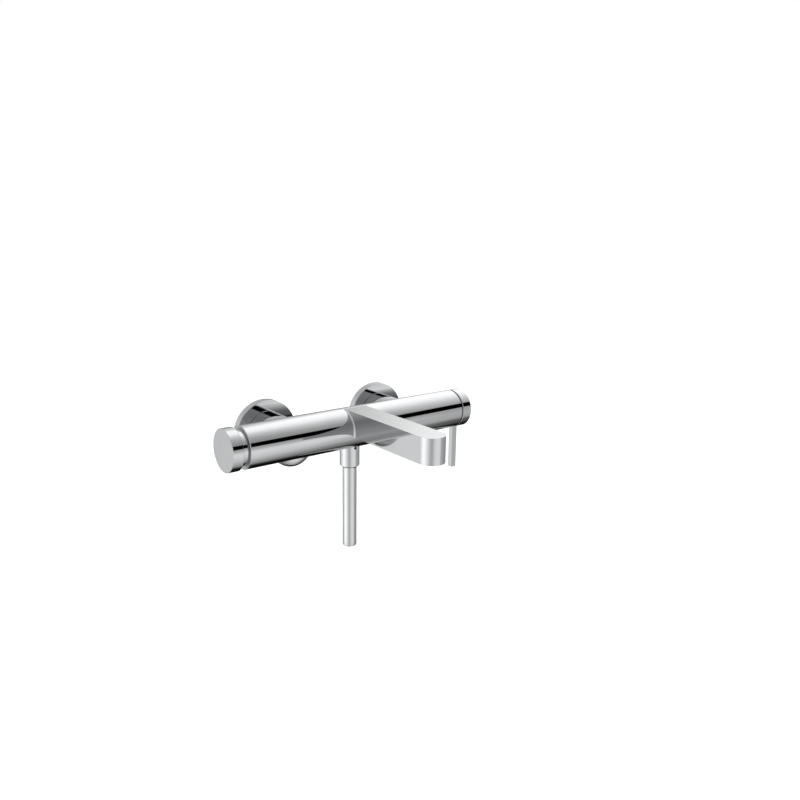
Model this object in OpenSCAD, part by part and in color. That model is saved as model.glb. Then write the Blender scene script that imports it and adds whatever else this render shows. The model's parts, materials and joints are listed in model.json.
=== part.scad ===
// Wall mounted bath faucet: a horizontal round body with a flat spout, a pull diverter knob,
// a hanging lever and a hose outlet underneath.
// X runs right along the body, Y runs into the wall, Z runs up. All sizes are in millimetres.
// The origin is on the wall, midway between the two inlets and at their height.

/* [Inlets] */
// distance between the hot and the cold inlet centres
inlet_spacing = 150; // [148:0.5:152]
// radius of the round wall flanges
flange_r = 36; // [34:0.5:38]
// how far a wall flange stands off the wall
flange_depth = 9; // [8:0.5:10]
// width across the flats of the six sided union nuts
union_nut_flats = 30; // [29:0.5:31]
// radius of the half inch thread that screws into the wall fitting
wall_thread_r = 10.48; // [10.4:0.01:10.5]
// length of the half inch thread behind the wall face
wall_thread_length = 14; // [10:1:16]

/* [Body] */
// radius of the round body, the knob and the handle cap
body_r = 22.5; // [22.4:0.1:22.8]
// distance of the body axis from the wall
body_reach = 67; // [66:0.5:68]
// height of the body axis above the inlets
body_rise = 8; // [7.5:0.5:8.5]
// left end face of the body
body_left = -136; // [-136.5:0.5:-134]
// right end face of the body
body_right = 141; // [140.5:0.5:141.5]
// radius of the two inlet bosses behind the body and of the covers behind them
boss_r = 24.1; // [23.8:0.1:24.4]

/* [Spout] */
// width of the spout, and the diameter of its round tip
spout_width = 28; // [27:0.5:30]
// height of the spout from its top face to its underside
spout_height = 27.5; // [27:0.5:28]
// distance from the body axis to the tip of the spout
spout_reach = 146; // [130:1:160]

/* [Handle] */
// inner face of the handle cap
cap_inner = 143; // [142.8:0.1:143.2]
// outer face of the handle cap
cap_outer = 155.5; // [155.3:0.1:155.7]
// width of the hanging lever along the body
lever_width = 7; // [6.6:0.1:7]
// depth of the hanging lever from front to back
lever_depth = 6.2; // [5.8:0.1:6.4]
// distance from the body axis down to the end of the lever
lever_drop = 74; // [60:1:90]

/* [Diverter] */
// outer face of the diverter knob
knob_outer = -155; // [-157:0.5:-153]
// inner end of the full width part of the diverter knob
knob_step = -143.5; // [-144:0.5:-143]
// inner face of the shoulder of the diverter knob
knob_inner = -136.1; // [-137.5:0.1:-136.1]
// radius of the shoulder of the diverter knob
knob_shoulder_r = 19; // [17:0.2:19.6]

/* [Hose] */
// position of the hose outlet along the body
outlet_x = -5; // [-6:0.5:-4]
// outside radius of the outlet collar and of the hose nut
hose_nut_r = 11; // [10.8:0.1:11.4]
// outside radius of the hose
hose_r = 7.85; // [7.8:0.01:7.85]
// distance from the body axis down to the end of the hose
hose_drop = 138; // [134:1:160]

/* [Hidden] */
// smoothness of turned pieces
$fn = 96;
// small overlap that lets a cut pass clean through
cut = 0.5;

// body casting
edge = 0.4;
pocket_r = 18;
pocket_start = 98;
diverter_bore_r = 9;
diverter_bore_end = 12;
mixed_bore_r = 6;
gallery_r = 3.5;
gallery_back = 11.8;
gallery_up = 6.8;
link_back = 14;
inlet_bore_front = 12;
port_floor = -2.6;
port_top = 5;
port_left = -20;
port_right = 6;
port_mouth = 7;
port_inner = 17;
outlet_bore_r = 4.5;
nipple_r = 8.5;
bush_r = 13;
bush_end = -118;
bush_face = -135.8;
bush_flange = 1;
bush_flange_r = 21.9;
bush_bore_r = 6.06;

// inlet unions, measured from the wall towards the body
boss_front = -72;
boss_back = -40;
boss_round = 9;
inlet_bore_r = 8;
spigot_r = 13.1;
spigot_end = -33.5;
seal_end = -31.5;
collar_r = 12.9;
collar_end = -28;
nut_front = -39.7;
nut_back = -24;
cover_bevel = 0.6;
cover_wall = 1.6;
cover_gap = 0.5;
union_r = 10;
pipe_clear_r = 10.6;
union_bore_r = 7;
valve_front = -27;
valve_back = -12;
valve_r = 8.5;
valve_bore_r = 7;
valve_lip = 2;
seat_bore_r = 4.5;
guide_bore_r = 1.6;
poppet_r = 6;
poppet_stem_r = 1.5;
poppet_gap = 0.3;
flange_wall = 2;
flange_edge = 0.6;

// spout
spout_root = 3;
fillet_reach = 1.6;
fillet_r = 1.62;
spout_channel = 16;
channel_floor = -1;
channel_top = 15;
aerator_recess_r = 11.4;
aerator_recess = 9;
aerator_inset = 0.3;
aerator_ring = 7.5;
aerator_wall = 1.6;
aerator_lip_r = 8.6;
aerator_lip = 1;
aerator_body_r = 11.3;
aerator_plate = 1.5;
aerator_cup = 5.5;
aerator_hole_r = 0.7;
aerator_hole_step = 2.6;
aerator_hole_rings = 3;
spout_tip_y = -spout_reach + spout_width / 2;
spout_bottom = body_r - spout_height;

// cartridge and handle
cartridge_r = 17.5;
cartridge_start = 98.3;
cartridge_base = 5;
cartridge_top = 123.7;
cartridge_wall = 2;
disc_r = 15.2;
fixed_disc_end = 107.3;
moving_disc_start = 107.6;
moving_disc_end = 111.4;
disc_port_r = 3;
disc_port_ring = 8.5;
ring_nut_end = 129.7;
ring_nut_bore_r = 12;
spindle_r = 8;
spindle_end = 140.5;
spindle_foot_r = 12;
spindle_foot_end = 114;
spindle_bore_start = 112.5;
running = 0.05;
plunger_r = 4.1;
plunger_start = 117;
plunger_end = 152;
window_start = 144.9;
window_end = 149.5;
window_depth = 4.6;
cartridge_neck_r = 10;
cartridge_cavity_r = 15.5;
carrier_hub_start = 130.5;
carrier_hub_r = 11.5;
carrier_disc_start = 137;
carrier_disc_r = 17.3;
carrier_rim_start = 141.4;
carrier_rim_r = 19.5;
carrier_ring_r = 19;
carrier_ring_wall = 2.5;
carrier_ring_end = 149.4;
cap_cavity_end = 153.2;
lever_left = 143.7;
pivot_x = lever_left + lever_width / 2;
pivot_drop = 15;
pivot_r = 1.45;
ear_start = 3.5;
ear_end = 6.5;
ear_half = 2.6;
ear_tip = 150.5;
lever_slot_side = 0.5;
slot_end = 153.9;
arm_half = 2;
arm_neck_half = 1.3;
arm_top = 0;
arm_root = -11;
slot_top = -14.5;
slot_back = 138.5;
screw_r = 2;
screw_socket_r = 1.15;
screw_x = 146.4;
screw_inner = 16.8;
screw_outer = 22.2;

// diverter
spindle_rod_r = 4;
neck_r = 6;
neck_end = -120;
rod_step = -30;
rod_tip_r = 2.5;
rod_tip_end = -9;
spool_r = 6.4;
spool_bore_r = 4.6;
spool_left = -12;
spool_right = 0;
cage_r = 8.95;
cage_bore_r = 6.45;
cage_left = -26;
cage_right = 11.7;
cage_plate = 2;
web = 1.2;
web_end = -9;
spout_window = [-20, -13];
hose_window = [-8.5, -1.5];
window_half = 2.6;
spring_r = 6.6;
spring_wire_r = 0.7;
spring_turns = 6;
spring_left = -117.2;
spring_right = -96.8;
spring_steps = 12;
spring_sides = 6;
collar_left = -96;
collar_right = -93;
stop_r = 8;
knob_pocket_end = -150;
knob_screw_x = -147;
knob_screw_length = 7;

// hose outlet, measured down from the body axis
outlet_split = 30.5;
nipple_top = -13;
nipple_bore_r = 5;
nipple_thread_r = 8.3;
nut_split = 30.55;
nipple_end = -38;
hose_washer_end = -39.5;
insert_flange_end = -40.5;
nut_end = -44.5;
nut_bevel = 2;
nut_mouth_r = 7.9;
nut_bore_r = 8.35;
barb_end = -58;
barb_r = 4.9;
barb_bore_r = 3.6;
insert_flange_r = 8.2;
nut_bottom_r = 8.7;
hose_bore_r = 5.2;
hose_sides = 12;
hose_drops = [
    40.5, 47, 53, 59, 65, 71, 77, 83, 89, 95, 101, 107, 113, 119, 125, 131, hose_drop
];
hose_route = [for (drop = hose_drops) [outlet_x, 0, -drop]];
collar_screw_drop = 21.3;
collar_screw_r = 1.6;
collar_screw_socket_r = 0.9;
collar_screw_length = 2.3;

// ---- shared shapes ----

// places a piece drawn about the body axis
module on_body() {
    translate([0, -body_reach, body_rise])
        children();
}

// a solid round bar along X
module bar_x(from, to, r) {
    translate([from, 0, 0])
        rotate([0, 90, 0])
            cylinder(h = to - from, r = r);
}

// a solid round bar along Y
module bar_y(from, to, r) {
    translate([0, from, 0])
        rotate([-90, 0, 0])
            cylinder(h = to - from, r = r);
}

// a solid round bar along Z
module bar_z(from, to, r) {
    translate([0, 0, from])
        cylinder(h = to - from, r = r);
}

// a turned shape about X, its outline given as [radius, x] pairs
module turned_x(outline) {
    rotate([0, 90, 0])
        rotate_extrude()
            polygon(outline);
}

// a round bar along X with both edges broken by a bevel
module bevelled_x(from, to, r, bevel) {
    turned_x([
        [0, from], [r - bevel, from], [r, from + bevel],
        [r, to - bevel], [r - bevel, to], [0, to]
    ]);
}

// a round bar along Y with both edges broken by a bevel
module bevelled_y(from, to, r, bevel) {
    rotate([0, 0, 90])
        bevelled_x(from, to, r, bevel);
}

// a box given by its two far corners
module span(low, high) {
    translate(low)
        cube(high - low);
}

// a set screw standing on the X-Y plane, with a six sided socket in its upper half
module set_screw(length, r, socket_r) {
    difference() {
        cylinder(h = length, r = r);
        translate([0, 0, length / 2])
            cylinder(h = length / 2 + cut, r = socket_r, $fn = 6);
    }
}

// one ring of points round a centre, in the plane of the two given directions
function ring_points(centre, u, v, r, sides) = [
    for (i = [0 : sides - 1])
        centre + r * cos(360 * i / sides) * u + r * sin(360 * i / sides) * v
];

// triangles that join each ring of points to the next
function wall_faces(count, sides, first, flip) = [
    for (k = [0 : count - 2])
        for (i = [0 : sides - 1])
            for (half = [0, 1])
                let (
                    a = first + k * sides + i,
                    b = first + k * sides + (i + 1) % sides,
                    t = half == 0 ? [a, b, b + sides] : [a, b + sides, a + sides]
                )
                    flip ? [t[2], t[1], t[0]] : t
];

// triangles of a flat ring between an outer and an inner ring of points
function end_faces(sides, outer, inner, flip) = [
    for (i = [0 : sides - 1])
        for (half = [0, 1])
            let (
                j = (i + 1) % sides,
                t = half == 0 ? [outer + i, inner + i, inner + j] : [outer + i, inner + j, outer + j]
            )
                flip ? [t[2], t[1], t[0]] : t
];

// ---- inlets, drawn about the inlet axis at the wall ----

// places a piece on the hot side (left, -1) or the cold side (right, 1)
module on_inlet(side) {
    translate([side * inlet_spacing / 2, 0, 0])
        children();
}

// a round wall flange, hollow behind, with a bevelled front edge
module escutcheon() {
    color("silver")
        difference() {
            rotate([-90, 0, 0])
                rotate_extrude()
                    polygon([
                        [0, 0], [flange_r, 0], [flange_r, -flange_depth + flange_edge],
                        [flange_r - flange_edge, -flange_depth], [0, -flange_depth]
                    ]);
            bar_y(-flange_depth + flange_wall, cut, flange_r - flange_wall);
            bar_y(-flange_depth - cut, cut, pipe_clear_r);
        }
}

// the pipe from the wall fitting to the body, with a collar that the nut pulls on
module union_pipe() {
    color("goldenrod")
        difference() {
            union() {
                bar_y(seal_end, collar_end, collar_r);
                bar_y(collar_end, 0, union_r);
                bar_y(0, wall_thread_length, wall_thread_r);
            }
            bar_y(seal_end - cut, valve_back, valve_r);
            bar_y(valve_back - cut, wall_thread_length + cut, union_bore_r);
        }
}

// the six sided nut that draws the pipe onto the body
module union_nut() {
    color("silver")
        difference() {
            translate([0, nut_front, 0])
                rotate([-90, 0, 0])
                    cylinder(h = nut_back - nut_front, r = union_nut_flats / 2 / cos(30), $fn = 6);
            bar_y(nut_front - cut, collar_end, spigot_r);
            bar_y(collar_end - cut, nut_back + cut, pipe_clear_r);
        }
}

// the round cover over the nut, from the boss to the wall flange
module union_cover() {
    cover_back = -flange_depth - cover_gap;
    color("silver")
        difference() {
            bevelled_y(nut_front, cover_back, boss_r, cover_bevel);
            bar_y(nut_front - cut, cover_back - cover_wall, boss_r - cover_wall);
            bar_y(cover_back - cover_wall - cut, cover_back + cut, pipe_clear_r);
        }
}

// the rubber washer between the pipe and the body
module union_seal() {
    color("dimgray")
        difference() {
            bar_y(spigot_end, seal_end, collar_r);
            bar_y(spigot_end - cut, seal_end + cut, inlet_bore_r);
        }
}

// the cage of the valve that stops water running back into the wall
module check_valve() {
    color("white")
        difference() {
            bar_y(valve_front, valve_back, valve_r);
            bar_y(valve_front + valve_lip, valve_back - valve_lip, valve_bore_r);
            bar_y(valve_back - valve_lip - cut, valve_back + cut, seat_bore_r);
            bar_y(valve_front - cut, valve_front + valve_lip + cut, guide_bore_r);
            for (turn = [45 : 90 : 315])
                rotate([0, turn, 0])
                    translate([(guide_bore_r + valve_bore_r) / 2, 0, 0])
                        bar_y(valve_front - cut, valve_front + valve_lip + cut, guide_bore_r);
        }
}

// the disc and stem that open towards the body
module check_poppet() {
    color("gainsboro")
        union() {
            bar_y(valve_back - 2 * valve_lip - poppet_gap, valve_back - valve_lip - poppet_gap, poppet_r);
            bar_y(valve_front, valve_back - 2 * valve_lip, poppet_stem_r);
        }
}

module hot_escutcheon() { on_inlet(-1) escutcheon(); }
module cold_escutcheon() { on_inlet(1) escutcheon(); }
module hot_union() { on_inlet(-1) union_pipe(); }
module cold_union() { on_inlet(1) union_pipe(); }
module hot_union_nut() { on_inlet(-1) union_nut(); }
module cold_union_nut() { on_inlet(1) union_nut(); }
module hot_union_cover() { on_inlet(-1) union_cover(); }
module cold_union_cover() { on_inlet(1) union_cover(); }
module hot_union_seal() { on_inlet(-1) union_seal(); }
module cold_union_seal() { on_inlet(1) union_seal(); }
module hot_check_valve() { on_inlet(-1) check_valve(); }
module cold_check_valve() { on_inlet(1) check_valve(); }
module hot_check_poppet() { on_inlet(-1) check_poppet(); }
module cold_check_poppet() { on_inlet(1) check_poppet(); }

// ---- body ----

// a boss behind and below the body, round at its front, with a threaded spigot for the union nut
module inlet_boss() {
    rotate([-90, 0, 0])
        rotate_extrude() {
            translate([0, boss_front + boss_round])
                square([boss_r, boss_back - edge - boss_front - boss_round]);
            translate([0, boss_front])
                square([boss_r - boss_round, boss_round + cut]);
            intersection() {
                translate([boss_r - boss_round, boss_front + boss_round])
                    circle(r = boss_round);
                translate([boss_r - boss_round - cut, boss_front])
                    square(boss_round + cut);
            }
            polygon([
                [0, boss_back - edge], [boss_r, boss_back - edge], [boss_r - edge, boss_back], [0, boss_back]
            ]);
        }
    bar_y(boss_back, spigot_end, spigot_r);
}

// the round casting that carries everything, with its water ways
module body_casting() {
    color("silver")
        difference() {
            union() {
                on_body()
                    bevelled_x(body_left, body_right, body_r, edge);
                for (side = [-1, 1])
                    on_inlet(side)
                        inlet_boss();
            }
            for (side = [-1, 1])
                on_inlet(side)
                    bar_y(-body_reach + inlet_bore_front, spigot_end + cut, inlet_bore_r);
            on_body() {
                bar_x(pocket_start, body_right + cut, pocket_r);
                bar_x(body_left - cut, diverter_bore_end, diverter_bore_r);
                bar_x(body_left - cut, bush_face + bush_flange, bush_flange_r);
                bar_x(body_left - cut, bush_end, bush_r);
                bar_x(diverter_bore_end - cut, pocket_start + cut, mixed_bore_r);
                translate([0, gallery_back, gallery_up])
                    bar_x(-inlet_spacing / 2, pocket_start + cut, gallery_r);
                translate([0, gallery_back, -gallery_up])
                    bar_x(inlet_spacing / 2, pocket_start + cut, gallery_r);
                translate([-inlet_spacing / 2, link_back, 0])
                    bar_z(-body_rise, gallery_up, gallery_r);
                span([port_left, -port_inner, port_floor], [port_right, -mixed_bore_r, port_top]);
                span([-port_mouth, -body_r - cut, port_floor], [port_right, -port_inner + cut, port_top]);
                translate([outlet_x, 0, 0]) {
                    bar_z(-body_r - cut, nipple_top, nipple_r);
                    bar_z(nipple_top - cut, -mixed_bore_r, outlet_bore_r);
                    translate([0, 0, -collar_screw_drop])
                        bar_y(-hose_nut_r, -nipple_r + cut, collar_screw_r + running);
                }
            }
        }
}

// ---- spout ----

// the flat arm in one block, before it is cut to the body
module spout_block() {
    translate([0, 0, spout_bottom])
        linear_extrude(height = spout_height)
            union() {
                translate([0, spout_tip_y])
                    circle(r = spout_width / 2);
                translate([-spout_width / 2, spout_tip_y])
                    square([spout_width, -spout_tip_y - spout_root]);
            }
}

// the hollow round of brazing that runs along both sides of the arm where it meets the body
module spout_fillet() {
    intersection() {
        for (side = [-1, 1])
            rotate([0, side * 90, 0])
                rotate_extrude()
                    difference() {
                        translate([body_r - cut, spout_width / 2 - cut])
                            square(fillet_reach + cut);
                        translate([body_r + fillet_reach, spout_width / 2 + fillet_reach])
                            circle(r = fillet_r);
                    }
        span([-spout_width, -body_r - fillet_reach, spout_bottom], [spout_width, -spout_root, body_r]);
    }
}

// a flat arm with a round tip and a water way to the aerator
module spout() {
    color("silver")
        on_body()
            difference() {
                union() {
                    spout_block();
                    spout_fillet();
                }
                bar_x(-spout_width, spout_width, body_r);
                span([-spout_channel / 2, spout_tip_y, channel_floor], [spout_channel / 2, 0, channel_top]);
                translate([0, spout_tip_y, 0]) {
                    bar_z(channel_floor, channel_top, spout_channel / 2);
                    bar_z(spout_bottom - cut, spout_bottom + aerator_recess, aerator_recess_r);
                }
            }
}

// places a piece at the aerator, drawn up from the underside of the spout
module on_aerator() {
    on_body()
        translate([0, spout_tip_y, spout_bottom])
            children();
}

// the threaded ring that holds the aerator in the tip
module aerator_housing() {
    color("silver")
        on_aerator()
            difference() {
                bar_z(aerator_inset, aerator_inset + aerator_ring, aerator_body_r);
                bar_z(0, aerator_inset + aerator_lip + cut, aerator_lip_r);
                bar_z(
                    aerator_inset + aerator_lip,
                    aerator_inset + aerator_ring + cut,
                    aerator_body_r - aerator_wall
                );
            }
}

// the plastic cup whose holed floor breaks up the water
module aerator_insert() {
    floor_z = aerator_inset + aerator_lip;
    cup_r = aerator_body_r - aerator_wall;
    color("white")
        on_aerator()
            difference() {
                bar_z(floor_z, floor_z + aerator_cup, cup_r);
                bar_z(floor_z + aerator_plate, floor_z + aerator_cup + cut, cup_r - aerator_wall);
                bar_z(floor_z - cut, floor_z + aerator_plate + cut, aerator_hole_r);
                for (ring = [1 : aerator_hole_rings - 1])
                    for (i = [1 : 6 * ring])
                        rotate([0, 0, 60 * i / ring])
                            translate([ring * aerator_hole_step, 0, 0])
                                bar_z(floor_z - cut, floor_z + aerator_plate + cut, aerator_hole_r);
            }
}

// the rubber ring above the aerator
module aerator_seal() {
    color("dimgray")
        on_aerator()
            difference() {
                bar_z(aerator_inset + aerator_ring, aerator_recess, aerator_body_r);
                bar_z(aerator_ring, aerator_recess + cut, aerator_lip_r);
            }
}

// ---- cartridge and handle ----

// the plastic shell of the mixing cartridge
module cartridge_body() {
    color("white")
        on_body()
            difference() {
                union() {
                    bar_x(cartridge_start, cartridge_top, cartridge_r);
                    bar_x(cartridge_top, ring_nut_end, cartridge_neck_r);
                }
                bar_x(cartridge_start + cartridge_base, cartridge_top - cartridge_wall, cartridge_cavity_r);
                bar_x(cartridge_top - 2 * cartridge_wall, ring_nut_end + cut, spindle_r + running);
                bar_x(cartridge_start - cut, cartridge_start + cartridge_base + cut, disc_port_r);
                for (up = [-gallery_up, gallery_up])
                    translate([0, gallery_back, up])
                        bar_x(cartridge_start - cut, cartridge_start + cartridge_base + cut, disc_port_r);
            }
}

// the ceramic disc that stays still, with hot, cold and mixed ports
module ceramic_fixed_disc() {
    color("ivory")
        on_body()
            difference() {
                bar_x(cartridge_start + cartridge_base, fixed_disc_end, disc_r);
                bar_x(cartridge_start, fixed_disc_end + cut, disc_port_r);
                for (up = [-gallery_up, gallery_up])
                    translate([0, disc_port_ring, up])
                        bar_x(cartridge_start, fixed_disc_end + cut, disc_port_r);
            }
}

// the ceramic disc that turns with the handle, with one mixing pocket
module ceramic_moving_disc() {
    color("ivory")
        on_body()
            difference() {
                bar_x(moving_disc_start, moving_disc_end, disc_r);
                translate([0, disc_port_ring / 2, 0])
                    bar_x(moving_disc_start - cut, fixed_disc_end + cartridge_wall, disc_port_ring);
            }
}

// the brass ring that clamps the cartridge in the body
module cartridge_nut() {
    color("goldenrod")
        on_body()
            difference() {
                bar_x(cartridge_top, ring_nut_end, pocket_r);
                bar_x(cartridge_top - cut, ring_nut_end + cut, ring_nut_bore_r);
            }
}

// the hollow spindle that turns the moving disc
module cartridge_spindle() {
    color("goldenrod")
        on_body()
            difference() {
                union() {
                    bar_x(moving_disc_end, spindle_foot_end, spindle_foot_r);
                    bar_x(moving_disc_end, spindle_end, spindle_r);
                }
                bar_x(spindle_bore_start, spindle_end + cut, plunger_r + running);
            }
}

// the rod inside the spindle that the lever pushes in
module cartridge_plunger() {
    color("goldenrod")
        on_body()
            difference() {
                bar_x(plunger_start, plunger_end, plunger_r);
                span(
                    [window_start, -window_depth / 2, -plunger_r - cut],
                    [window_end, window_depth / 2, plunger_r / 4]
                );
            }
}

// the carrier on the spindle: it holds the cap and the pivot of the lever
module handle_carrier() {
    color("goldenrod")
        on_body()
            difference() {
                union() {
                    difference() {
                        union() {
                            bar_x(carrier_hub_start, carrier_disc_start, carrier_hub_r);
                            bar_x(carrier_disc_start, carrier_rim_start, carrier_disc_r);
                            bar_x(carrier_rim_start, cap_inner, carrier_rim_r);
                            bar_x(cap_inner, carrier_ring_end, carrier_ring_r);
                        }
                        bar_x(cap_inner, carrier_ring_end + cut, carrier_ring_r - carrier_ring_wall);
                        span(
                            [cap_inner, -ear_start, -carrier_rim_r],
                            [carrier_ring_end + cut, ear_start, slot_top]
                        );
                    }
                    for (side = [-1, 1])
                        translate([
                            (cap_inner + ear_tip) / 2,
                            side * (ear_start + ear_end) / 2,
                            -pivot_drop
                        ])
                            cube([ear_tip - cap_inner, ear_end - ear_start, 2 * ear_half], center = true);
                }
                bar_x(carrier_hub_start - cut, carrier_ring_end, spindle_r);
                span([slot_back, -ear_start, slot_top], [cap_inner + cut, ear_start, arm_top]);
                translate([pivot_x, 0, -pivot_drop])
                    bar_y(-ear_end - cut, ear_end + cut, pivot_r);
                translate([screw_x, 0, 0])
                    bar_y(0, carrier_rim_r, screw_r);
            }
}

// the short cap over the carrier, slotted underneath for the lever
module handle_cap() {
    color("silver")
        on_body()
            difference() {
                bevelled_x(cap_inner, cap_outer, body_r, edge);
                bar_x(cap_inner - cut, cap_cavity_end, carrier_ring_r);
                span(
                    [cap_inner - cut, -lever_depth / 2 - lever_slot_side, -body_r - cut],
                    [slot_end, lever_depth / 2 + lever_slot_side, -pivot_drop]
                );
                translate([screw_x, 0, 0])
                    bar_y(0, body_r + cut, screw_r);
            }
}

// the set screw at the back that locks the cap
module handle_screw() {
    color("dimgray")
        on_body()
            translate([screw_x, screw_inner, 0])
                rotate([-90, 0, 0])
                    set_screw(screw_outer - screw_inner, screw_r, screw_socket_r);
}

// the cross pin that the lever swings on
module pivot_pin() {
    color("dimgray")
        on_body()
            translate([pivot_x, 0, -pivot_drop])
                bar_y(-ear_end, ear_end, pivot_r);
}

// the flat lever with a short arm and a round nose above its pivot
module lever_pin() {
    color("silver")
        on_body()
            difference() {
                union() {
                    span(
                        [lever_left, -lever_depth / 2, -lever_drop],
                        [lever_left + lever_width, lever_depth / 2, arm_root]
                    );
                    span(
                        [pivot_x - arm_neck_half, -arm_half, arm_root],
                        [pivot_x + arm_neck_half, arm_half, arm_top - arm_half]
                    );
                    translate([pivot_x, 0, arm_top - arm_half])
                        bar_y(-arm_half, arm_half, arm_half);
                }
                translate([pivot_x, 0, -pivot_drop])
                    bar_y(-lever_depth, lever_depth, pivot_r + running);
            }
}

// ---- diverter ----

// the round knob that is pulled to send the water to the hose
module diverter_knob() {
    color("silver")
        on_body()
            difference() {
                union() {
                    bevelled_x(knob_outer, knob_step, body_r, edge);
                    bar_x(knob_step - edge, knob_inner, knob_shoulder_r);
                }
                bar_x(knob_pocket_end, knob_inner + cut, neck_r);
                translate([knob_screw_x, 0, 0])
                    bar_y(0, body_r + cut, screw_r);
            }
}

// the set screw that locks the knob on its spindle
module knob_screw() {
    color("dimgray")
        on_body()
            translate([knob_screw_x, neck_r, 0])
                rotate([-90, 0, 0])
                    set_screw(knob_screw_length, screw_r, screw_socket_r);
}

// the long rod from the knob to the spool
module diverter_spindle() {
    color("goldenrod")
        on_body()
            union() {
                bar_x(knob_pocket_end, neck_end, neck_r);
                bar_x(neck_end, rod_step, spindle_rod_r);
                bar_x(collar_left, collar_right, stop_r);
                bar_x(rod_step, rod_tip_end, rod_tip_r);
            }
}

// the hollow spool that covers either the hose window or the spout window
module diverter_spool() {
    color("dimgray")
        on_body()
            difference() {
                bar_x(spool_left, spool_right, spool_r);
                difference() {
                    bar_x(spool_left - cut, spool_right + cut, spool_bore_r);
                    for (turn = [0, 90])
                        rotate([turn, 0, 0])
                            span([spool_left, -spool_r, -web], [web_end, spool_r, web]);
                }
                bar_x(spool_left - cut, rod_tip_end, rod_tip_r);
            }
}

// the fixed sleeve round the spool, with its two windows
module diverter_cage() {
    color("white")
        on_body()
            difference() {
                bar_x(cage_left, cage_right, cage_r);
                bar_x(cage_left + cage_plate, cage_right + cut, cage_bore_r);
                bar_x(cage_left - cut, cage_left + cage_plate + cut, rod_tip_r + running);
                span([spout_window[0], -cage_r - cut, -window_half], [spout_window[1], 0, window_half]);
                span([hose_window[0], -window_half, -cage_r - cut], [hose_window[1], window_half, 0]);
            }
}

// the threaded guide in the left end of the body, whose flange covers the end face
module diverter_bush() {
    color("silver")
        on_body()
            difference() {
                union() {
                    bar_x(bush_face, bush_face + bush_flange, bush_flange_r);
                    bar_x(bush_face, bush_end, bush_r);
                }
                bar_x(bush_face - cut, bush_end + cut, bush_bore_r);
            }
}

// the coil spring that pushes the spool back
module diverter_spring() {
    steps = spring_turns * spring_steps;
    length = spring_right - spring_left - 2 * spring_wire_r;
    points = [
        for (k = [0 : steps])
            let (
                turn = 360 * k / spring_steps,
                out = [0, cos(turn), sin(turn)],
                centre = spring_r * out + [spring_left + spring_wire_r + length * k / steps, 0, 0]
            )
                each ring_points(centre, [1, 0, 0], out, spring_wire_r, spring_sides)
    ];
    last = steps * spring_sides;
    faces = concat(
        wall_faces(steps + 1, spring_sides, 0, true),
        [[for (i = [0 : spring_sides - 1]) i]],
        [[for (i = [spring_sides - 1 : -1 : 0]) last + i]]
    );
    color("lightgray")
        on_body()
            polyhedron(points = points, faces = faces, convexity = 8);
}

// ---- hose outlet ----

// the threaded tube under the body
module outlet_nipple() {
    color("goldenrod")
        on_body()
            translate([outlet_x, 0, 0])
                difference() {
                    union() {
                        bar_z(-nut_split, nipple_top, nipple_r);
                        bar_z(nipple_end, -nut_split, nipple_thread_r);
                    }
                    bar_z(nipple_end - cut, nipple_top + cut, nipple_bore_r);
                }
}

// the round collar over the tube, shaped to the body
module outlet_collar() {
    color("silver")
        on_body()
            difference() {
                translate([outlet_x, 0, 0])
                    difference() {
                        bar_z(-outlet_split, nipple_top, hose_nut_r);
                        bar_z(-outlet_split - cut, nipple_top + cut, nipple_r);
                        translate([0, 0, -collar_screw_drop])
                            bar_y(-hose_nut_r - cut, 0, collar_screw_r);
                    }
                bar_x(-hose_nut_r + outlet_x - cut, hose_nut_r + outlet_x + cut, body_r);
            }
}

// the small set screw in the front of the collar
module collar_screw() {
    color("dimgray")
        on_body()
            translate([outlet_x, -nipple_r, -collar_screw_drop])
                rotate([90, 0, 0])
                    set_screw(collar_screw_length, collar_screw_r, collar_screw_socket_r);
}

// the nut that holds the hose, bevelled at its lower end
module hose_nut() {
    color("silver")
        on_body()
            translate([outlet_x, 0, 0])
                rotate_extrude()
                    polygon([
                        [nut_mouth_r, nut_end], [nut_bottom_r, nut_end], [hose_nut_r, nut_end + nut_bevel],
                        [hose_nut_r, -nut_split], [nut_bore_r, -nut_split],
                        [nut_bore_r, insert_flange_end], [nut_mouth_r, insert_flange_end]
                    ]);
}

// the rubber washer on top of the hose end
module hose_washer() {
    color("dimgray")
        on_body()
            translate([outlet_x, 0, 0])
                difference() {
                    bar_z(hose_washer_end, nipple_end, insert_flange_r);
                    bar_z(hose_washer_end - cut, nipple_end + cut, nipple_bore_r);
                }
}

// the brass insert that the hose is pushed onto
module hose_insert() {
    color("goldenrod")
        on_body()
            translate([outlet_x, 0, 0])
                difference() {
                    union() {
                        bar_z(insert_flange_end, hose_washer_end, insert_flange_r);
                        bar_z(barb_end, insert_flange_end, barb_r);
                    }
                    bar_z(barb_end - cut, hose_washer_end + cut, barb_bore_r);
                }
}

// the smooth hose that hangs from the nut, open at its lower end
module hose_tube() {
    count = len(hose_route);
    outer = [
        for (p = hose_route)
            each ring_points(p, [1, 0, 0], [0, 1, 0], hose_r, hose_sides)
    ];
    inner = [
        for (p = hose_route)
            each ring_points(p, [1, 0, 0], [0, 1, 0], hose_bore_r, hose_sides)
    ];
    start = count * hose_sides;
    last = (count - 1) * hose_sides;
    faces = concat(
        wall_faces(count, hose_sides, 0, false),
        wall_faces(count, hose_sides, start, true),
        end_faces(hose_sides, 0, start, false),
        end_faces(hose_sides, last, start + last, true)
    );
    color("lightgray")
        on_body()
            polyhedron(points = concat(outer, inner), faces = faces, convexity = 4);
}

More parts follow.
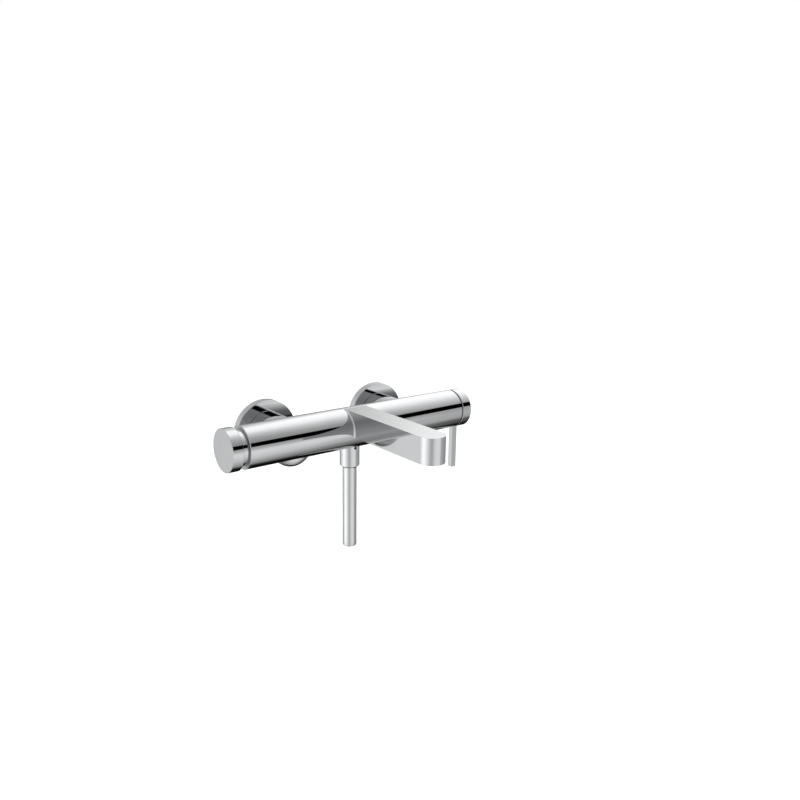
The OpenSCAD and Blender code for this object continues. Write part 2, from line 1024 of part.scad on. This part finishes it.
body_casting();
spout();
aerator_housing();
aerator_insert();
aerator_seal();
hot_escutcheon();
cold_escutcheon();
hot_union();
cold_union();
hot_union_nut();
cold_union_nut();
hot_union_cover();
cold_union_cover();
hot_union_seal();
cold_union_seal();
hot_check_valve();
cold_check_valve();
hot_check_poppet();
cold_check_poppet();
cartridge_body();
ceramic_fixed_disc();
ceramic_moving_disc();
cartridge_nut();
cartridge_spindle();
cartridge_plunger();
handle_carrier();
handle_cap();
handle_screw();
pivot_pin();
lever_pin();
diverter_knob();
diverter_spindle();
diverter_spool();
diverter_cage();
diverter_bush();
diverter_spring();
knob_screw();
outlet_nipple();
outlet_collar();
collar_screw();
hose_nut();
hose_washer();
hose_insert();
hose_tube();
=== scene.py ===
import json
import math

import bpy
from mathutils import Matrix, Vector


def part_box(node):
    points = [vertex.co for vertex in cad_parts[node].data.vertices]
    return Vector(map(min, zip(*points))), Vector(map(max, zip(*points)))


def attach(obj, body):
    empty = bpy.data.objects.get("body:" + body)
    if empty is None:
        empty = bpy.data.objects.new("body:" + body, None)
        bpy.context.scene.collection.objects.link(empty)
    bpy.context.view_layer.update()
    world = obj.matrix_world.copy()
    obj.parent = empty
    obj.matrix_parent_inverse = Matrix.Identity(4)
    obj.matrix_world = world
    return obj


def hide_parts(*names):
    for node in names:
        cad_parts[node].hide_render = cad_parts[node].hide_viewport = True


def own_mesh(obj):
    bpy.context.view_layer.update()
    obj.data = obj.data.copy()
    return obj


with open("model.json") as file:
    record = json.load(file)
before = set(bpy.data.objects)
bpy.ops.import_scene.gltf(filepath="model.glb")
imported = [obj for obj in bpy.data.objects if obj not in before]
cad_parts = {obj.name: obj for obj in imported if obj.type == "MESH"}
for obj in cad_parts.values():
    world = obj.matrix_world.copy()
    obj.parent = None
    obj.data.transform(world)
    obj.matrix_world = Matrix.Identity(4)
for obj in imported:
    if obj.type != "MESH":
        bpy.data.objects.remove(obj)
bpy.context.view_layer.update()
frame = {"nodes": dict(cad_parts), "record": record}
NODES = frame["nodes"]

MM = 0.001


# ---------------------------------------------------------------- meshes

def new_piece(name, points, faces):
    """A mesh object made of points and faces, in the scene."""
    mesh = bpy.data.meshes.new(name)
    mesh.from_pydata(points, [], faces)
    mesh.update()
    obj = bpy.data.objects.new(name, mesh)
    bpy.context.scene.collection.objects.link(obj)
    return obj


def smooth_shade(obj, crease=40):
    """Smooth shading, with edges sharper than crease degrees kept crisp."""
    for face in obj.data.polygons:
        face.use_smooth = True
    obj.data.set_sharp_from_angle(angle=math.radians(crease))


# ---------------------------------------------------------------- materials

# the slow change of colour over a surface, as the scale and detail of its noise, and the detail
# and strength of the fine grain
METAL_CLOUD = (38, 5)
METAL_GRAIN_DETAIL = 3
METAL_BUMP = 0.25
MOULDED_CLOUD = (60, 5)
MOULDED_GRAIN_DETAIL = 4
MOULDED_BUMP = 0.3
NOISE_ROUGHNESS = 0.55


def new_material(name):
    """A node material with a Principled shader, and its tree, shader and object coordinates."""
    mat = bpy.data.materials.new(name)
    mat.use_nodes = True
    tree = mat.node_tree
    shader = tree.nodes["Principled BSDF"]
    place = tree.nodes.new("ShaderNodeTexCoord")
    return mat, tree, shader, place.outputs["Object"]


def stretched(tree, coords, scale):
    """Coordinates scaled by a different amount along each axis."""
    node = tree.nodes.new("ShaderNodeMapping")
    node.inputs["Scale"].default_value = scale
    tree.links.new(coords, node.inputs["Vector"])
    return node.outputs["Vector"]


def noise(tree, coords, scale, detail):
    node = tree.nodes.new("ShaderNodeTexNoise")
    node.inputs["Scale"].default_value = scale
    node.inputs["Detail"].default_value = detail
    node.inputs["Roughness"].default_value = NOISE_ROUGHNESS
    tree.links.new(coords, node.inputs["Vector"])
    return node.outputs["Fac"]


def spread(tree, value, low, high, start=0.35, end=0.65):
    """value, from start to end, becomes low to high."""
    node = tree.nodes.new("ShaderNodeMapRange")
    node.inputs["From Min"].default_value = start
    node.inputs["From Max"].default_value = end
    node.inputs["To Min"].default_value = low
    node.inputs["To Max"].default_value = high
    tree.links.new(value, node.inputs["Value"])
    return node.outputs["Result"]


def tint(tree, value, dark, light, start=0.3, end=0.7):
    """A colour between dark and light, as value goes from start to end."""
    node = tree.nodes.new("ShaderNodeValToRGB")
    node.color_ramp.elements[0].position = start
    node.color_ramp.elements[0].color = (*dark, 1)
    node.color_ramp.elements[1].position = end
    node.color_ramp.elements[1].color = (*light, 1)
    tree.links.new(value, node.inputs["Fac"])
    return node.outputs["Color"]


def bump(tree, shader, value, strength, distance):
    node = tree.nodes.new("ShaderNodeBump")
    node.inputs["Strength"].default_value = strength
    node.inputs["Distance"].default_value = distance
    tree.links.new(value, node.inputs["Height"])
    tree.links.new(node.outputs["Normal"], shader.inputs["Normal"])


def metal(name, dark, light, smooth, worn, grain=(1, 1, 1), grain_scale=900, height=4e-6):
    """A metal whose colour and gloss vary a little over the surface, with a fine grain. smooth and
    worn are its lowest and highest roughness. grain packs the grain closer along an axis, or draws
    it out where it is below 1, and height is its depth in metres."""
    mat, tree, shader, coords = new_material(name)
    shader.inputs["Metallic"].default_value = 1.0
    cloud = noise(tree, coords, *METAL_CLOUD)
    fine = noise(tree, stretched(tree, coords, grain), grain_scale, METAL_GRAIN_DETAIL)
    tree.links.new(tint(tree, cloud, dark, light), shader.inputs["Base Color"])
    tree.links.new(spread(tree, cloud, smooth, worn), shader.inputs["Roughness"])
    bump(tree, shader, fine, METAL_BUMP, height)
    return mat


def moulded(name, dark, light, smooth, worn, coat=0.0, height=2e-5, grain_scale=1400):
    """Plastic, rubber or ceramic with a moulded or lapped skin."""
    mat, tree, shader, coords = new_material(name)
    shader.inputs["Coat Weight"].default_value = coat
    cloud = noise(tree, coords, *MOULDED_CLOUD)
    fine = noise(tree, coords, grain_scale, MOULDED_GRAIN_DETAIL)
    tree.links.new(tint(tree, cloud, dark, light), shader.inputs["Base Color"])
    tree.links.new(spread(tree, fine, smooth, worn), shader.inputs["Roughness"])
    bump(tree, shader, fine, MOULDED_BUMP, height)
    return mat


# the material of each slot in the record
MATERIALS = {
    "chrome": metal(
        "polished_chrome", (0.565, 0.57, 0.58), (0.60, 0.605, 0.61), 0.02, 0.045),
    "brass": metal(
        "machined_brass", (0.60, 0.44, 0.20), (0.78, 0.60, 0.32), 0.18, 0.32,
        grain=(1, 1, 12), grain_scale=500, height=1e-5),
    "white_plastic": moulded(
        "white_acetal", (0.78, 0.78, 0.76), (0.86, 0.86, 0.84), 0.38, 0.5),
    "black_rubber": moulded(
        "black_rubber", (0.018, 0.018, 0.02), (0.035, 0.035, 0.037), 0.6, 0.8),
    "steel": metal(
        "machined_steel", (0.42, 0.43, 0.44), (0.56, 0.57, 0.58), 0.22, 0.36,
        grain=(1, 1, 10), grain_scale=600, height=8e-6),
    "black_steel": metal(
        "black_oxide_steel", (0.012, 0.012, 0.014), (0.025, 0.025, 0.028), 0.4, 0.5,
        height=6e-6),
    "ceramic": moulded(
        "lapped_ceramic", (0.80, 0.78, 0.72), (0.88, 0.86, 0.80), 0.12, 0.2,
        coat=0.4, height=4e-6),
    "hose_silver": metal(
        "satin_hose", (0.58, 0.583, 0.587), (0.62, 0.623, 0.627), 0.06, 0.09,
        grain=(1, 1, 0.15), grain_scale=1500, height=1.5e-6),
}


def paint(obj, mat):
    obj.data.materials.clear()
    obj.data.materials.append(mat)


for part in frame["record"]["subparts"]:
    paint(NODES[part["node"]], MATERIALS[part["material_slot"]])


# ---------------------------------------------------------------- camera

# where the camera stands, how it is turned, its lens in millimetres and its range in metres
CAMERA_PLACE = (-0.4728, -0.7481, 0.2423)
YAW, PITCH, ROLL = math.radians(38.269), math.radians(13.818), math.radians(0.947)
SENSOR_WIDTH, FOCAL_LENGTH = 36, 35.236
NEAREST, FARTHEST = 0.01, 50

forward = Vector((
    math.sin(YAW) * math.cos(PITCH), math.cos(YAW) * math.cos(PITCH), -math.sin(PITCH)))
right = Vector((math.cos(YAW), -math.sin(YAW), 0))
up = right.cross(forward)
side = math.cos(ROLL) * right + math.sin(ROLL) * up
top = -math.sin(ROLL) * right + math.cos(ROLL) * up

lens = bpy.data.cameras.new("camera")
lens.sensor_width = SENSOR_WIDTH
lens.lens = FOCAL_LENGTH
lens.clip_start = NEAREST
lens.clip_end = FARTHEST
camera = bpy.data.objects.new("camera", lens)
bpy.context.scene.collection.objects.link(camera)
turn = Matrix((side, top, -forward)).transposed()
camera.matrix_world = Matrix.Translation(CAMERA_PLACE) @ turn.to_4x4()
bpy.context.scene.camera = camera


# ---------------------------------------------------------------- floor

FLOOR_R = 30
FLOOR_Z = -0.42
FLOOR_SIDES = 96
FLOOR_GREY = 0.9
FLOOR_ROUGHNESS = 0.7
FLOOR_GLOW = 0.55

floor_rim = [
    (FLOOR_R * math.cos(math.tau * i / FLOOR_SIDES),
     FLOOR_R * math.sin(math.tau * i / FLOOR_SIDES), FLOOR_Z)
    for i in range(FLOOR_SIDES)
]
floor = new_piece("floor", floor_rim, [tuple(range(FLOOR_SIDES))])
floor_mat, _, floor_shader, _ = new_material("pale_floor")
floor_shader.inputs["Base Color"].default_value = (FLOOR_GREY, FLOOR_GREY, FLOOR_GREY, 1)
floor_shader.inputs["Roughness"].default_value = FLOOR_ROUGHNESS
floor_shader.inputs["Emission Color"].default_value = (1, 1, 1, 1)
floor_shader.inputs["Emission Strength"].default_value = FLOOR_GLOW
paint(floor, floor_mat)
floor.visible_glossy = False


# ---------------------------------------------------------------- light

world = bpy.data.worlds.new("studio")
bpy.context.scene.world = world
world.use_nodes = True
sky = world.node_tree
sky.nodes.clear()


def sky_math(kind, *values):
    """One Math node, on numbers or on what other nodes give."""
    node = sky.nodes.new("ShaderNodeMath")
    node.operation = kind
    for i, value in enumerate(values):
        if isinstance(value, (int, float)):
            node.inputs[i].default_value = value
        else:
            sky.links.new(value, node.inputs[i])
    return node.outputs[0]


def sky_ramp(value, low, high, stops):
    """A grey level that runs through stops, given as (value, level) from low to high."""
    share = sky_math("DIVIDE", sky_math("SUBTRACT", value, low), high - low)
    node = sky.nodes.new("ShaderNodeValToRGB")
    ramp = node.color_ramp
    places = [(at - low) / (high - low) for at, _ in stops]
    ramp.elements[0].position = places[0]
    ramp.elements[1].position = places[-1]
    for place in places[1:-1]:
        ramp.elements.new(place)
    for element, (_, level) in zip(ramp.elements, stops):
        element.color = (level, level, level, 1)
    sky.links.new(share, node.inputs["Fac"])
    return node.outputs["Color"]


def sky_mix(a, b, share):
    """a where share is 0, b where it is 1."""
    return sky_math("ADD", sky_math("MULTIPLY", a, sky_math("SUBTRACT", 1, share)),
                    sky_math("MULTIPLY", b, share))


direction = sky.nodes.new("ShaderNodeTexCoord").outputs["Generated"]
split = sky.nodes.new("ShaderNodeSeparateXYZ")
sky.links.new(direction, split.inputs[0])
height = sky_math("DEGREES", sky_math("ARCSINE", split.outputs["Z"]))
bearing = sky_math("DEGREES", sky_math("ARCTAN2", split.outputs["X"],
                                       sky_math("MULTIPLY", split.outputs["Y"], -1)))


def by_height(stops):
    """A grey level by the height above the horizon, in degrees."""
    return sky_ramp(height, -90, 90, stops)


def by_bearing(stops):
    """A grey level by the bearing, in degrees."""
    return sky_ramp(bearing, -180, 180, stops)


# Rings of studio light, each at one height in degrees, from the floor up. A ring's stops give the
# bearing and the level there: bearing 0 is in front of the object, 90 to its right, 180 behind it.
RINGS = [
    (-66, [(-180, 0.20), (-60, 0.35), (20, 0.60), (50, 0.68), (64, 0.53), (76, 0.42), (92, 0.28),
           (120, 0.06), (180, 0.20)]),
    (-42, [(-180, 0.30), (-150, 0.60), (-126, 1.0), (-60, 0.75), (0, 0.80), (30, 0.88),
           (38, 0.86), (48, 0.60), (54, 0.42), (64, 0.15), (76, 0.04), (125, 0.05), (150, 0.12),
           (180, 0.30)]),
    (-24, [(-180, 0.20), (-166, 0.45), (-152, 0.88), (-138, 1.0), (-130, 1.2), (-118, 1.5),
           (-106, 1.7), (-96, 1.62), (-86, 1.46), (-78, 1.24), (-70, 1.14), (-60, 0.89),
           (-50, 0.74), (-40, 0.62), (-32, 0.62), (-21, 0.84), (-6, 1.05), (14, 1.11),
           (30, 1.05), (36, 1.0), (40, 0.64), (52, 0.60), (60, 0.52), (74, 0.48), (88, 0.40),
           (104, 0.32), (125, 0.45), (145, 0.22), (180, 0.20)]),
    (-13, [(-180, 0.30), (-166, 0.60), (-152, 0.92), (-138, 1.0), (-130, 1.2), (-118, 1.5),
           (-106, 1.7), (-96, 1.62), (-86, 1.46), (-78, 1.24), (-70, 1.14), (-60, 0.89),
           (-50, 0.72), (-40, 0.60), (-32, 0.60), (-21, 0.84), (-6, 1.05), (14, 1.11),
           (30, 1.08), (36, 1.0), (40, 0.66), (52, 0.62), (60, 0.54), (74, 0.50), (88, 0.42),
           (104, 0.36), (125, 0.50), (145, 0.30), (160, 0.20), (180, 0.30)]),
    (2, [(-180, 0.30), (-165, 0.70), (-150, 0.85), (-118, 1.4), (-92, 1.2), (-60, 0.70),
         (-42, 0.50), (-20, 0.50), (6, 0.60), (36, 0.58), (60, 0.48), (84, 0.48), (107, 0.55),
         (128, 0.62), (139, 0.70), (146, 0.36), (155, 0.26), (170, 0.25), (180, 0.30)]),
    (30, [(-180, 0.7), (-165, 0.65), (-150, 0.8), (-120, 0.80), (-80, 0.60), (-42, 0.38),
          (0, 0.36), (34, 0.43), (42, 0.47), (48, 0.60), (57, 0.75), (68, 0.97), (80, 1.17),
          (95, 1.44), (106, 1.60), (126, 1.75), (139, 1.85), (145, 1.25), (152, 0.85),
          (165, 0.70), (180, 0.7)]),
    (62, [(-180, 0.6), (-150, 0.8), (-120, 0.90), (-42, 0.60), (30, 0.60), (60, 0.90),
          (95, 1.40), (126, 1.60), (138, 1.45), (150, 0.65), (180, 0.6)]),
]
light = by_bearing(RINGS[0][1])
for (lower, _), (upper, stops) in zip(RINGS, RINGS[1:]):
    risen = by_height([(-90, 0), (lower, 0), (upper, 1), (90, 1)])
    light = sky_mix(light, by_bearing(stops), risen)

# a long black flag above the horizon, in front and to the right
flag_bearing = by_bearing([(-180, 0), (8, 0), (18, 1), (64, 1), (92, 0), (180, 0)])
flag_height = by_height([(-90, 0), (8, 0), (10, 1), (26, 1), (28, 0), (90, 0)])

# a dark round card low behind the object, to its right: its stops give the share of the light that
# is left at each angle from its middle
CARD_BEARING, CARD_HEIGHT = math.radians(130), math.radians(-49)
CARD_STOPS = [(0, 0.03), (9, 0.08), (17, 0.25), (24, 0.6), (31, 1), (180, 1)]
toward = sky.nodes.new("ShaderNodeVectorMath")
toward.operation = "DOT_PRODUCT"
sky.links.new(direction, toward.inputs[0])
toward.inputs[1].default_value = (
    math.sin(CARD_BEARING) * math.cos(CARD_HEIGHT),
    -math.cos(CARD_BEARING) * math.cos(CARD_HEIGHT), math.sin(CARD_HEIGHT))
away = sky_math("DEGREES", sky_math("ARCCOSINE", toward.outputs["Value"]))
card = sky_ramp(away, 0, 180, CARD_STOPS)

light = sky_math("MULTIPLY", light, card)
light = sky_math("MULTIPLY", light,
                 sky_math("SUBTRACT", 1, sky_math("MULTIPLY", flag_bearing, flag_height)))

# seen straight on, the studio is plain white
seen = sky.nodes.new("ShaderNodeLightPath").outputs["Is Camera Ray"]
studio = sky.nodes.new("ShaderNodeBackground")
sky.links.new(sky_mix(light, 1.0, seen), studio.inputs["Strength"])
studio.inputs["Color"].default_value = (1, 1, 1, 1)
surface = sky.nodes.new("ShaderNodeOutputWorld")
sky.links.new(studio.outputs["Background"], surface.inputs["Surface"])

bpy.context.scene.view_settings.view_transform = "Standard"


# ---------------------------------------------------------------- turned pieces

def arc(centre_r, centre_h, radius, start, end, steps=6):
    """Points on a round corner of an outline, from one angle to another in degrees."""
    angles = [math.radians(start + (end - start) * i / steps) for i in range(steps + 1)]
    return [(centre_r + radius * math.cos(a), centre_h + radius * math.sin(a)) for a in angles]


def turned(name, outline_at, place, sides):
    """A ring-shaped solid. outline_at(share) is its closed outline of (radius, height) points at
    that share of a turn, and place(share, radius, height) puts a point into the frame."""
    outlines = [outline_at(i / sides) for i in range(sides)]
    count = len(outlines[0])
    points = [place(i / sides, r, h) for i, outline in enumerate(outlines) for r, h in outline]
    faces = [
        (i * count + j, ((i + 1) % sides) * count + j,
         ((i + 1) % sides) * count + (j + 1) % count, i * count + (j + 1) % count)
        for i in range(sides)
        for j in range(count)
    ]
    return new_piece(name, points, faces)


# ---------------------------------------------------------------- hose

# The middle line of the hose goes straight down, from its end in the nut to its open end.
HOSE_X, HOSE_Y = -0.005, -0.067
HOSE_LEVELS = [-0.0325, -0.039, -0.045, -0.051, -0.057, -0.063, -0.069, -0.075, -0.081,
               -0.087, -0.093, -0.099, -0.105, -0.111, -0.117, -0.123, -0.130]
HOSE_R = 7.85 * MM
HOSE_BORE_R = 5.2 * MM
HOSE_LIP_R = 1.3 * MM
BORE_LIP_R = 0.5 * MM
HOSE_SIDES = 72


def hose_outline(_share):
    start, end = HOSE_LEVELS[0], HOSE_LEVELS[-1]
    down = (
        [(HOSE_BORE_R, start), (HOSE_R, start)]
        + [(HOSE_R, z) for z in HOSE_LEVELS[1:-1]]
        + arc(HOSE_R - HOSE_LIP_R, end + HOSE_LIP_R, HOSE_LIP_R, 0, -90)
        + arc(HOSE_BORE_R + BORE_LIP_R, end + BORE_LIP_R, BORE_LIP_R, -90, -180)
    )
    return down[::-1]


def hose_place(share, r, h):
    angle = math.tau * share
    return (HOSE_X + r * math.cos(angle), HOSE_Y + r * math.sin(angle), h)


hose = turned("shower_hose", hose_outline, hose_place, HOSE_SIDES)
smooth_shade(hose)
paint(hose, MATERIALS["hose_silver"])
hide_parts("hose_tube")
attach(hose, "body")


# ---------------------------------------------------------------- wall unions with their threads

THREAD_R = 10.48 * MM
THREAD_PITCH = 1.814 * MM
THREAD_DEPTH = 1.16 * MM
THREAD_STEPS = 8  # points along each pitch
THREAD_SIDES = 72
THREAD_CREASE = 32
THREAD_CUT = 0.125  # how much of the sharp profile is cut off at the crest and at the root
LEAD_IN = 0.5  # how deep the thread starts, as a share of its depth
NOSE_SLOPE = 0.9  # how fast the last turn narrows
UNION_R = 10 * MM
UNION_COLLAR_R = 12.9 * MM
UNION_COLLAR = 3.5 * MM
UNION_MOUTH_R = 8.5 * MM
UNION_MOUTH = 19.5 * MM
UNION_BORE_R = 7 * MM
UNION_CORNER = 0.5 * MM


def thread_radius(y, share, back):
    """How wide a thread that runs from y = 0 to back is at y, at that share of a turn."""
    turn_part = (y / THREAD_PITCH + share) % 1
    profile = (1 + 2 * THREAD_CUT) * abs(2 * turn_part - 1) - THREAD_CUT
    cut_depth = THREAD_DEPTH * min(1, max(0, profile))
    lead_in = THREAD_DEPTH * LEAD_IN * max(0, 1 - y / THREAD_PITCH)
    nose = NOSE_SLOPE * max(0, y - (back - THREAD_PITCH))
    return THREAD_R - max(cut_depth, lead_in, nose)


def union_piece(node, name):
    """The pipe of one wall union, with a real half inch thread on the end that enters the wall."""
    low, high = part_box(node)
    centre_x, centre_z = (low[0] + high[0]) / 2, (low[2] + high[2]) / 2
    front, back = low[1], high[1]
    collar_back = front + UNION_COLLAR
    mouth_back = front + UNION_MOUTH
    steps = round(back / THREAD_PITCH * THREAD_STEPS)
    levels = [back * i / steps for i in range(1, steps + 1)]

    def outline(share):
        out = [
            (UNION_MOUTH_R, front),
            (UNION_COLLAR_R - UNION_CORNER, front),
            (UNION_COLLAR_R, front + UNION_CORNER),
            (UNION_COLLAR_R, collar_back - UNION_CORNER),
            (UNION_COLLAR_R - UNION_CORNER, collar_back),
            (UNION_R, collar_back),
            (UNION_R, 0),
            *((thread_radius(y, share, back), y) for y in levels),
            (UNION_BORE_R + UNION_CORNER, back),
            (UNION_BORE_R, back - UNION_CORNER),
            (UNION_BORE_R, mouth_back),
            (UNION_MOUTH_R, mouth_back),
        ]
        return out[::-1]

    def place(share, r, h):
        angle = math.tau * share
        return (centre_x + r * math.cos(angle), h, centre_z + r * math.sin(angle))

    piece = turned(name, outline, place, THREAD_SIDES)
    smooth_shade(piece, THREAD_CREASE)
    paint(piece, MATERIALS["brass"])
    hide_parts(node)
    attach(piece, "body")


for side_name in ("hot", "cold"):
    union_piece(side_name + "_union", side_name + "_union_pipe")


# ---------------------------------------------------------------- diverter spring

SPRING_WIRE_R = 0.7 * MM
SPRING_TURNS = 6
SPRING_END_PITCH = 2.1 * SPRING_WIRE_R
TURN_STEPS = 32
WIRE_SIDES = 14


def spring_rise(turns, length):
    """How far along the spring its wire is after that many turns. The end turns lie close."""
    if turns < 1:
        return SPRING_END_PITCH * turns
    if turns > SPRING_TURNS - 1:
        return length - SPRING_END_PITCH * (SPRING_TURNS - turns)
    return SPRING_END_PITCH + (length - 2 * SPRING_END_PITCH) * (turns - 1) / (SPRING_TURNS - 2)


def spring_piece(node, name):
    """The coil spring of the diverter. It is built at one length: nothing here shortens it as the
    knob is pulled.
    """
    low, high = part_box(node)
    centre_y, centre_z = (low[1] + high[1]) / 2, (low[2] + high[2]) / 2
    coil_r = (high[2] - low[2]) / 2 - SPRING_WIRE_R
    length = high[0] - low[0] - 2 * SPRING_WIRE_R
    steps = SPRING_TURNS * TURN_STEPS
    points, faces = [], []
    for k in range(steps + 1):
        turns = k / TURN_STEPS
        middle_x = low[0] + SPRING_WIRE_R + spring_rise(turns, length)
        out_y, out_z = math.cos(math.tau * turns), math.sin(math.tau * turns)
        for i in range(WIRE_SIDES):
            angle = math.tau * i / WIRE_SIDES
            r = coil_r + SPRING_WIRE_R * math.cos(angle)
            points.append((middle_x + SPRING_WIRE_R * math.sin(angle),
                           centre_y + r * out_y, centre_z + r * out_z))
    for k in range(steps):
        for i in range(WIRE_SIDES):
            here, after = k * WIRE_SIDES + i, k * WIRE_SIDES + (i + 1) % WIRE_SIDES
            faces.append((here, here + WIRE_SIDES, after + WIRE_SIDES, after))
    faces.append(tuple(range(WIRE_SIDES)))
    faces.append(tuple(steps * WIRE_SIDES + i for i in reversed(range(WIRE_SIDES))))
    spring = new_piece(name, points, faces)
    smooth_shade(spring)
    paint(spring, MATERIALS["steel"])
    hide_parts(node)
    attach(spring, "body")
    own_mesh(spring)


spring_piece("diverter_spring", "diverter_coil_spring")
